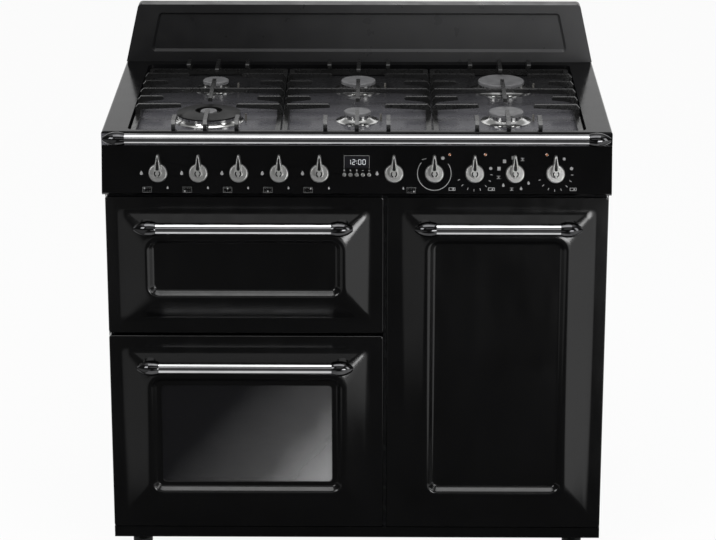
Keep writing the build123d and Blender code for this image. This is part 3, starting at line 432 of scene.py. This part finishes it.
def cavityIcon(shape, x, y):
    # an oven from the front
    wide, high = iconSet["cavity"]
    line = iconSet["cavityLine"]
    for side in (-1, 1):
        bar(shape, x, y + side * high / 2, wide, line)
    for side in (-1, 1):
        bar(shape, x + side * wide / 2, y, line, iconSet["cavitySide"])
    dot(shape, x + iconSet["cavityDot"], y, iconSet["marked"], 12)


# millimetres and degrees, in the order that the drawing functions take them
markSet = {"lift": 0.02, "thick": 0.18, "reach": 33.0}
tapMarks = {"flame": 8.5, "lowFlame": (18.5, -29.0, 5.5), "iconLeft": -22.0, "iconRight": 34.0,
            "iconRow": -33.0, "spots": ((0, 1), (0, 0), (1, 1), (1, 0), (2, 1), (2, 0))}
dialMarks = {"grillArc": (1.3, 140.0, 255.0), "grillBar": (-20.0, 28.0, 9.0, 1.2, 14.0),
             "grillDot": (16.5, 30.0, 3.4), "tallDot": (17.0, 29.0, 3.0), "ticks": 9, "start": 18.0,
             "step": 22.0, "tick": (4.6, 1.2), "firstDot": 3.2, "cavityRow": -30.5,
             "cavityOut": (35.0, 33.0, 35.0)}
modeMarks = {"count": 9, "start": 64.0, "step": 32.5, "rise": 31.0, "lined": (0, 4, 6), "solid": (1, 2, 3),
             "line": (7.0, 1.0), "apart": 2.4, "dot": 1.4, "block": (6.4, 7.0), "flame": 7.0}
clockMarks = {"top": (34.5, 49.8, 0.6), "sideX": 24.6, "side": (22.0, 0.6, 25.0), "dot": (6.2, 1.4),
              "line": (4.3, 3.4, 0.6), "signRow": 5.4, "sign": (3.6, 0.8)}
ovenTurns = ("grill_turn", "oven_heat_turn", "oven_mode_turn", "tall_oven_turn")
tapX = [jointOf["tap_turn_%d" % i]["pos_m"][0] / mm for i in range(1, 7)]
ovenX = [jointOf[turn]["pos_m"][0] / mm for turn in ovenTurns]
grillX, heatX, modeX, tallX = ovenX
marks = bmesh.new()
lowX, lowY, lowHeight = tapMarks["lowFlame"]
for i, x in enumerate(tapX):                  # a large and a small flame, and the burner's place
    flame(marks, x - markSet["reach"], 0.0, tapMarks["flame"])
    flame(marks, x + lowX, lowY, lowHeight)
    iconX = x + tapMarks["iconLeft" if i < 5 else "iconRight"]
    hobIcon(marks, iconX, tapMarks["iconRow"], tapMarks["spots"][i])
arc(marks, grillX, 0.0, markSet["reach"], *dialMarks["grillArc"])
barX, *barRest = dialMarks["grillBar"]
bar(marks, grillX + barX, *barRest)
dotX, *dotRest = dialMarks["grillDot"]
dot(marks, grillX + dotX, *dotRest)
for step in range(dialMarks["ticks"]):        # heat ticks, clockwise from the dot
    angle = dialMarks["start"] - dialMarks["step"] * step
    turn = math.radians(angle)
    for x in (heatX, tallX):
        px, py = x + markSet["reach"] * math.cos(turn), markSet["reach"] * math.sin(turn)
        if step == 0:
            dot(marks, px, py, dialMarks["firstDot"])
        else:
            bar(marks, px, py, *dialMarks["tick"], angle)
dotX, *dotRest = dialMarks["tallDot"]
dot(marks, tallX + dotX, *dotRest)
for x, out in zip((grillX, heatX, tallX), dialMarks["cavityOut"]):     # cavity icons beside the dials
    cavityIcon(marks, x + out, dialMarks["cavityRow"])
for step in range(modeMarks["count"]):        # cooking mode icons
    turn = math.radians(modeMarks["start"] + modeMarks["step"] * step)
    px, py = modeX + markSet["reach"] * math.cos(turn), modeMarks["rise"] * math.sin(turn)
    if step in modeMarks["lined"]:
        for side in (-1, 1):
            bar(marks, px, py + side * modeMarks["apart"], *modeMarks["line"])
        dot(marks, px, py, modeMarks["dot"], 10)
    elif step in modeMarks["solid"]:
        bar(marks, px, py, *modeMarks["block"])
    else:
        flame(marks, px, py, modeMarks["flame"])
for side in (-1, 1):                          # lines round the clock
    bar(marks, side * clockMarks["sideX"], *clockMarks["side"])
bar(marks, 0.0, *clockMarks["top"])
along, across = clockMarks["sign"]
for i in range(5):                            # a sign over each button
    low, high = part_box("clock_button_%d" % (i + 1))
    x = (low.x + high.x) / 2 / mm
    if i < 3:
        dot(marks, x, *clockMarks["dot"], 12)
        bar(marks, x, *clockMarks["line"])
    else:
        bar(marks, x, clockMarks["signRow"], along, across)
    if i == 4:
        bar(marks, x, clockMarks["signRow"], across, along)
thicken(marks, marks.faces[:], markSet["thick"])
layOnPanel(marks, 0.0, markSet["lift"])
inkFinish = plasticFinish("printInk", (0.22, 0.22, 0.22), (0.3, 0.3, 0.3), 0.4, 0.55, 1500.0)
addPiece(marks, "panel_marks", "cooker_body", inkFinish)
print("panel marks made")

# pilot lamps beside the oven knobs
pilotSet = {"places": ((182.0, 37.0), (252.0, 37.0), (372.0, 37.0)), "radius": 2.4, "flat": 0.55,
            "lift": 0.2, "rim": 0.7, "rimOut": 0.2, "rimLift": 0.3}
lensFinish = lampLens("amberLens", (0.22, 0.07, 0.02), (0.42, 0.15, 0.05), 0.05)
lenses = bmesh.new()
rims = bmesh.new()
for x, y in pilotSet["places"]:
    ball = bmesh.ops.create_uvsphere(lenses, u_segments=20, v_segments=10, radius=pilotSet["radius"])
    lens = ball["verts"]
    bmesh.ops.scale(lenses, verts=lens, vec=(1.0, 1.0, pilotSet["flat"]))
    bmesh.ops.translate(lenses, verts=lens, vec=(x, y, pilotSet["lift"]))
    ring = bmesh.ops.create_circle(rims, radius=pilotSet["rim"] / 2, segments=10)["verts"]
    bmesh.ops.rotate(rims, verts=ring, matrix=Matrix.Rotation(math.radians(90.0), 3, "X"))
    rimRadius = pilotSet["radius"] + pilotSet["rimOut"]
    bmesh.ops.translate(rims, verts=ring, vec=(rimRadius, 0.0, pilotSet["rimLift"]))
    loop = list({e for v in ring for e in v.link_edges})
    old = set(rims.verts) - set(ring)
    bmesh.ops.spin(rims, geom=ring + loop, cent=(0, 0, 0), axis=(0, 0, 1), angle=math.tau, steps=24,
                   use_merge=True)
    bmesh.ops.translate(rims, verts=[v for v in rims.verts if v not in old], vec=(x, y, 0.0))
for shape, name, finish, slot in ((lenses, "pilot_lenses", lensFinish, None),
                                  (rims, "pilot_rims", finishes["chrome"], "chrome")):
    bmesh.ops.remove_doubles(shape, verts=shape.verts, dist=0.001)
    layOnPanel(shape, 0.0, 0.0)
    smoothFaces(addPiece(shape, name, "cooker_body", finish))
print("pilot lamps made")

# clock digits, seven bars each
clockSet = {"y": 22.0, "lift": 0.62, "digit": (5.2, 9.6), "step": 8.6, "middle": 1.6, "shows": "1200",
            "stroke": 1.2, "short": 0.9, "colon": (2.2, 0.75), "thick": 0.12}
clockFinish = lampLens("clockFigures", (0.5, 0.52, 0.55), (0.62, 0.64, 0.66), 0.12)
segments = {"0": "abcdef", "1": "bc", "2": "abged"}
digits = bmesh.new()
wide, high = clockSet["digit"]
bars = {"a": (0.0, high / 2, 0), "g": (0.0, 0.0, 0), "d": (0.0, -high / 2, 0),
        "b": (wide / 2, high / 4, 90), "c": (wide / 2, -high / 4, 90),
        "e": (-wide / 2, -high / 4, 90), "f": (-wide / 2, high / 4, 90)}
for i, figure in enumerate(clockSet["shows"]):
    x = (i - 1.5) * clockSet["step"] + (clockSet["middle"] if i > 1 else -clockSet["middle"])
    for letter in segments[figure]:
        dx, dy, turn = bars[letter]
        length = (high / 2 if turn else wide) - clockSet["short"]
        bar(digits, x + dx, clockSet["y"] + dy, length, clockSet["stroke"], turn)
colonRise, colonRadius = clockSet["colon"]
for side in (-1, 1):
    dot(digits, 0.0, clockSet["y"] + side * colonRise, colonRadius, 12)
thicken(digits, digits.faces[:], clockSet["thick"])
layOnPanel(digits, 0.0, clockSet["lift"])
addPiece(digits, "clock_digits", "cooker_body", clockFinish)
print("clock made")

# a dark sheet in the groove of each pointer, and painted shade: dark bands on both sides of the grip's root
grooveShadeSet = {"root": (9.0, 3.1), "tip": (29.0, 1.05), "gas": 25.0, "oven": 21.9, "lift": 0.02, "thick": 0.35,
            "band": (5.2, 2.4), "bandStarts": (130.0, -70.0), "bandSweep": 120.0, "groove": 1.6,
            "bandThick": 0.12}
grooveAndShadeFinish = enamelFinish("pointerGrooveAndShade", (0.004, 0.004, 0.004), (0.008, 0.008, 0.008), 0.2, 0.3)
knobs = [("gas_knob_%d" % (i + 1), x, grooveShadeSet["gas"]) for i, x in enumerate(tapX)]
ovenKnobs = ("grill_knob", "oven_heat_knob", "oven_mode_knob", "tall_oven_knob")
knobs += [(name, x, grooveShadeSet["oven"]) for name, x in zip(ovenKnobs, ovenX)]
for name, x, seat in knobs:
    grooveAndShade = bmesh.new()
    for v in bmesh.ops.create_circle(grooveAndShade, cap_ends=True, radius=1.0, segments=24)["verts"]:
        at, radius = grooveShadeSet["tip" if v.co.y > 0 else "root"]
        v.co = Vector((v.co.x * radius, v.co.y * radius + at, 0.0))
    thicken(grooveAndShade, grooveAndShade.faces[:], grooveShadeSet["thick"])
    grooved = set(grooveAndShade.verts)
    # painted shade where the grip meets the disc
    for start in grooveShadeSet["bandStarts"]:
        arc(grooveAndShade, 0.0, 0.0, *grooveShadeSet["band"], start, grooveShadeSet["bandSweep"], 16)
    thicken(grooveAndShade, [f for f in grooveAndShade.faces if not grooved.intersection(f.verts)], grooveShadeSet["bandThick"])
    bands = [v for v in grooveAndShade.verts if v not in grooved]
    bmesh.ops.translate(grooveAndShade, verts=bands, vec=(0.0, 0.0, grooveShadeSet["groove"]))
    layOnPanel(grooveAndShade, x, seat + grooveShadeSet["lift"])
    addPiece(grooveAndShade, name + "_inlay", name, grooveAndShadeFinish)
print("pointer groovesAndShades made")

# screws round the rear cover
screwSet = {"inset": 14.0, "radius": 4.2, "height": 2.2, "sunk": 0.3, "across": 6, "down": 5}
screws = bmesh.new()
low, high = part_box("rear_cover")
left, right = low.x / mm + screwSet["inset"], high.x / mm - screwSet["inset"]
foot, head = low.z / mm + screwSet["inset"], high.z / mm - screwSet["inset"]
places = []
for i in range(screwSet["across"]):
    x = left + (right - left) * i / (screwSet["across"] - 1)
    places += [(x, foot), (x, head)]
for i in range(1, screwSet["down"] - 1):
    z = foot + (head - foot) * i / (screwSet["down"] - 1)
    places += [(left, z), (right, z)]
for x, z in places:
    ball = bmesh.ops.create_uvsphere(screws, u_segments=16, v_segments=8, radius=screwSet["radius"])
    dome = ball["verts"]
    bmesh.ops.scale(screws, verts=dome, vec=(1.0, screwSet["height"] / screwSet["radius"], 1.0))
    bmesh.ops.translate(screws, verts=dome, vec=(x, high.y / mm - screwSet["sunk"], z))
bmesh.ops.transform(screws, matrix=Matrix.Scale(mm, 4), verts=screws.verts)
smoothFaces(addPiece(screws, "cover_screws", "cooker_body", finishes["element_steel"]))
print("cover screws made")

# pressed door skins, with rounder bends than the solids have
skinSet = {"rise": 20.0, "depth": 30.0, "border": 30.0, "bevel": 45.0, "ridge": 8.0, "recess": 11.0,
           "margin": 9.0, "edge": 2.0, "sheet": 1.6, "steps": 8, "hinge": 70.0, "notch": 4.5,
           "notchDepth": 3.0, "bends": (7.0, 3.5, 3.5, 2.5),
           "lip": ((-1.0, 0.0), (-0.3, -0.3), (0.0, -1.0), (0.0, -1.8)),
           "radii": ((0.0, 5.0), (30.0, 12.0), (75.0, 30.0), (83.0, 22.0), (94.0, 11.0), (103.0, 8.0))}
doorEnamel = enamelFinish("doorEnamel", (0.0008, 0.0008, 0.0009), (0.0018, 0.0018, 0.002), 0.14, 0.22)


def cornerAt(inset):
    for (nearInset, nearRadius), (farInset, farRadius) in zip(skinSet["radii"], skinSet["radii"][1:]):
        if inset <= farInset:
            return nearRadius + (farRadius - nearRadius) * (inset - nearInset) / (farInset - nearInset)
    return skinSet["radii"][-1][1]


def bend(inset, lift, before, after, half, steps=6):
    # inset and lift along a soft crease between two slopes
    for i in range(steps + 1):
        t = (2.0 * i / steps - 1.0) * half
        yield inset + t, lift + before * t + (after - before) * (t + half) ** 2 / (4.0 * half)


def doorProfile(window):
    slope = skinSet["rise"] / skinSet["bevel"]
    crest = skinSet["border"] + skinSet["bevel"]
    mouth = crest + skinSet["ridge"]
    sunk = skinSet["rise"] - skinSet["recess"]
    profile = [(0.0, -skinSet["depth"]), (0.0, -skinSet["notchDepth"])]
    for i in range(5):                        # rounded outer edge
        turn = math.radians(22.5 * i)
        profile.append((skinSet["edge"] * (1.0 - math.cos(turn)), skinSet["edge"] * (math.sin(turn) - 1.0)))
    borderBend, crestBend, mouthBend, panelBend = skinSet["bends"]
    profile += bend(skinSet["border"], 0.0, 0.0, slope, borderBend)
    profile += bend(crest, skinSet["rise"], slope, 0.0, crestBend)
    profile += bend(mouth, skinSet["rise"], 0.0, -1.0, mouthBend)
    profile += bend(mouth + skinSet["recess"], sunk, -1.0, 0.0, panelBend)
    if window:
        opening = mouth + skinSet["recess"] + skinSet["margin"]
        profile += [(opening + inset, sunk + lift) for inset, lift in skinSet["lip"]]
    return profile


def doorRing(halfX, halfZ, radius, cuts, sideHung):
    # a rounded rectangle, with the hinge notches' ends as shares of its straight foot or right side
    ring = []
    for corner, (signX, signZ) in enumerate(((-1, -1), (1, -1), (1, 1), (-1, 1))):
        for i in range(skinSet["steps"] + 1):
            turn = math.radians(180.0 + 90.0 * corner + 90.0 * i / skinSet["steps"])
            ring.append((signX * (halfX - radius) + radius * math.cos(turn),
                         signZ * (halfZ - radius) + radius * math.sin(turn)))
        if corner == int(sideHung):
            for cut in cuts:
                along = cut * ((halfZ if sideHung else halfX) - radius)
                ring.append((halfX, along) if sideHung else (along, -halfZ))
    return ring


for door in ("grill_door", "oven_door", "tall_door"):
    low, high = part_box(door + "_skin")
    middleX, middleZ = (low.x + high.x) / 2 / mm, (low.z + high.z) / 2 / mm
    wide, tall = (high.x - low.x) / mm, (high.z - low.z) / mm
    plane = low.y / mm + skinSet["rise"]
    sideHung = door == "tall_door"
    run = (tall if sideHung else wide) / 2
    reach = run - skinSet["hinge"]
    straight = run - cornerAt(0.0)
    cuts = [(place + side * skinSet["notch"]) / straight for place in (-reach, reach) for side in (-1, 1)]
    firstCut = (skinSet["steps"] + 1) * (2 if sideHung else 1)
    skin = bmesh.new()
    rings = []
    for inset, lift in doorProfile(door == "oven_door"):
        ring = doorRing(wide / 2 - inset, tall / 2 - inset, cornerAt(inset), cuts, sideHung)
        y = (plane - lift) * mm
        rings.append([skin.verts.new(((middleX + x) * mm, y, (middleZ + z) * mm)) for x, z in ring])
    for level, (outer, inner) in enumerate(zip(rings, rings[1:])):
        for i in range(len(outer)):
            if level == 0 and i - firstCut in (0, 2):      # room for the hinge arms
                continue
            after = (i + 1) % len(outer)
            skin.faces.new((outer[i], outer[after], inner[after], inner[i]))
    if door != "oven_door":
        skin.faces.new(rings[-1])
    piece = addPiece(skin, door + "_press", door, doorEnamel)
    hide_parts(door + "_skin")
    smoothFaces(piece)
    wall = piece.modifiers.new("sheetWall", "SOLIDIFY")
    wall.thickness = skinSet["sheet"] * mm
    wall.offset = -1.0
    flat = piece.modifiers.new("flatFaces", "WEIGHTED_NORMAL")
    flat.keep_sharp = False
print("door skins pressed")

# softened edges on cast and pressed pieces
edgeSet = {"pan_support_left": 0.9, "pan_support_middle": 0.9, "pan_support_right": 0.9,
           "control_panel": 0.8, "backguard": 0.8, "base_frame": 0.5}
for name, size in edgeSet.items():
    weld = nodes[name].modifiers.new("joinFaces", "WELD")
    weld.merge_threshold = 0.00001
    soft = nodes[name].modifiers.new("softEdges", "BEVEL")
    soft.width = size * mm
    soft.segments = 2
    soft.limit_method = "ANGLE"
    soft.angle_limit = math.radians(40.0)
    soft.harden_normals = True
print("edges softened")

# floor: white to the camera, and dim in front of the cooker for what mirrors it
floorSet = {"half": 16.0, "right": (0.47, 0.66, 1.0), "left": (-0.47, -0.8, 0.35),
            "back": (-0.28, -0.1, 1.0), "least": 0.02, "ahead": (-0.52, -0.4), "lean": 0.09, "glow": 0.94}
floorShape = bmesh.new()
bmesh.ops.create_grid(floorShape, x_segments=2, y_segments=2, size=floorSet["half"])
floorMesh = bpy.data.meshes.new("studioFloor")
floorShape.to_mesh(floorMesh)
floorShape.free()
floor = bpy.data.objects.new("studioFloor", floorMesh)
scene.collection.objects.link(floor)
floorMat = bpy.data.materials.new("paleFloor")
floorMat.use_nodes = True
tree = floorMat.node_tree
tree.nodes.remove(tree.nodes["Principled BSDF"])
matte = tree.nodes.new("ShaderNodeBsdfDiffuse")
matte.inputs["Color"].default_value = (0.9, 0.9, 0.9, 1.0)
glow = tree.nodes.new("ShaderNodeEmission")
coords = tree.nodes.new("ShaderNodeTexCoord")
split = tree.nodes.new("ShaderNodeSeparateXYZ")
tree.links.new(coords.outputs["Object"], split.inputs["Vector"])
floorX, floorY = split.outputs["X"], split.outputs["Y"]
ahead = softSpan(tree, floorY, floorSet["ahead"], 1.0, 0.0)     # the glow at the sides keeps to the front
level = floorSet["least"]
for side, lean in (("right", floorSet["lean"]), ("left", -floorSet["lean"]), ("back", None)):
    near, far, most = floorSet[side]
    if lean:                                  # a side's edge leans out with the view
        across = mathNode(tree, "ADD", floorX, mathNode(tree, "MULTIPLY", floorY, lean))
        patch = mathNode(tree, "MULTIPLY", softSpan(tree, across, (near, far), 0.0, most), ahead)
    else:
        patch = softSpan(tree, floorY, (near, far), 0.0, most)
    level = mathNode(tree, "MAXIMUM", level, patch)
eye, seen = rayKinds(tree)
tree.links.new(mathNode(tree, "MAXIMUM", eye, level), glow.inputs["Strength"])
blend = tree.nodes.new("ShaderNodeMixShader")
share = mathNode(tree, "MULTIPLY", seen, floorSet["glow"])      # the rest is lit, so the shadow stays
tree.links.new(share, blend.inputs["Fac"])
tree.links.new(matte.outputs[0], blend.inputs[1])
tree.links.new(glow.outputs[0], blend.inputs[2])
tree.links.new(blend.outputs[0], tree.nodes["Material Output"].inputs["Surface"])
floorMesh.materials.append(floorMat)

# world: bright behind and above, dim in front
worldSet = {"behind": (0.0, 0.3), "above": (0.72, 0.96), "front": 0.07, "plain": 0.4, "wall": (0.38, 0.55),
            "overWall": 0.3}
world = bpy.data.worlds.new("studioRoom")
scene.world = world
world.use_nodes = True
tree = world.node_tree
sky = tree.nodes["Background"]
sky.inputs["Color"].default_value = (1.0, 1.0, 1.0, 1.0)
coords = tree.nodes.new("ShaderNodeTexCoord")
split = tree.nodes.new("ShaderNodeSeparateXYZ")
tree.links.new(coords.outputs["Generated"], split.inputs["Vector"])
behind = softSpan(tree, split.outputs["Y"], worldSet["behind"], worldSet["front"], 1.0)
above = softSpan(tree, split.outputs["Z"], worldSet["above"], worldSet["front"], 1.0)
wall = softSpan(tree, split.outputs["Z"], worldSet["wall"], 1.0, worldSet["overWall"])
lit = mathNode(tree, "MULTIPLY", behind, wall)                  # the bright wall behind ends at this height
mirrored = rayKinds(tree)[1]
shown = mathNode(tree, "MULTIPLY", mathNode(tree, "MAXIMUM", lit, above), mirrored)
plain = mathNode(tree, "MULTIPLY", mathNode(tree, "SUBTRACT", 1.0, mirrored), worldSet["plain"])
tree.links.new(mathNode(tree, "ADD", shown, plain), sky.inputs["Strength"])

# lamps
lampSet = {
    "keyLeft": {"place": (-2.6, -3.2, 2.6), "aim": (0.0, 0.0, 0.5), "size": (1.4, 1.4), "power": 40.0},
    "fillRight": {"place": (3.0, -2.2, 1.8), "aim": (0.2, 0.0, 0.5), "size": (1.0, 2.4), "power": 25.0},
    "cornerRight": {"place": (1.45, -3.05, 0.75), "aim": (0.2, 0.0, 0.6), "size": (1.0, 0.6), "power": 22.0},
    "frontHigh": {"place": (0.4, -5.2, 3.6), "aim": (0.0, 0.0, 0.7), "size": (4.4, 1.0), "power": 10.0},
    "overhead": {"place": (0.0, -1.0, 3.3), "aim": (0.0, -0.3, 0.9), "size": (2.8, 1.5), "power": 40.0},
    "lowFront": {"place": (0.0, -0.7, 0.03), "aim": (0.0, -0.62, 0.9), "size": (1.3, 0.6), "power": 2.2,
                 "only": chromeBars},
}
for name, lamp in lampSet.items():
    data = bpy.data.lights.new(name, "AREA")
    data.shape = "RECTANGLE"
    data.size, data.size_y = lamp["size"]
    data.energy = lamp["power"]
    light = bpy.data.objects.new(name, data)
    light.location = lamp["place"]
    light.rotation_euler = (Vector(lamp["aim"]) - Vector(lamp["place"])).to_track_quat("-Z", "Y").to_euler()
    scene.collection.objects.link(light)
    if "only" in lamp:                        # a low lamp that is flagged off from all but the chrome bars
        reached = bpy.data.collections.new(name)
        for chromeBar in lamp["only"]:
            reached.objects.link(nodes[chromeBar])
        light.light_linking.receiver_collection = reached
        light.visible_camera = False
print("stage and lamps made")
